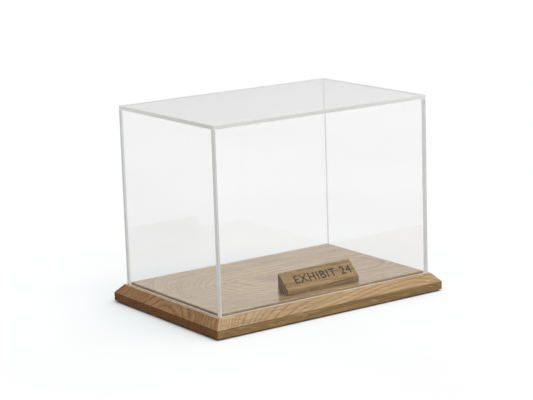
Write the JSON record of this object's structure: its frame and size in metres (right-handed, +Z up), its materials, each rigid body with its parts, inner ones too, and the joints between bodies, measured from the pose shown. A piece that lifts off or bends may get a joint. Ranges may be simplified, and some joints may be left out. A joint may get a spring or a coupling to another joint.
{
  "type": "display plinth with clear cover",
  "caption": "Table-top display plinth: chamfered oak base board with a raised deck, an engraved wedge name block and a lift-off clear acrylic cover.",
  "frame": {"origin": "centre of the footprint, on the surface that the four pads stand on", "axes": "+X along the long side, to the right as seen from the front; -Y towards the front, where the name block stands; +Z up"},
  "size_m": [0.308, 0.212, 0.2259],
  "materials": {
    "board_oak": "satin lacquer",
    "block_oak": "satin lacquer",
    "screw_steel": "zinc plated",
    "pad_felt": "felt",
    "clear_acrylic": "polished clear"
  },
  "bodies": {
    "plinth": {"base_board": "board_oak", "name_block": "block_oak", "block_screw_left": "screw_steel", "block_screw_right": "screw_steel", "pad_front_left": "pad_felt", "pad_front_right": "pad_felt", "pad_back_left": "pad_felt", "pad_back_right": "pad_felt"},
    "cover": {"cover_front_panel": "clear_acrylic", "cover_back_panel": "clear_acrylic", "cover_left_panel": "clear_acrylic", "cover_right_panel": "clear_acrylic", "cover_top_panel": "clear_acrylic"}
  },
  "joints": [
    {"name": "cover_lift", "type": "slide", "parent": "plinth", "child": "cover", "axis": [0, 0, 1], "range_m": [0, 0.25]}
  ]
}
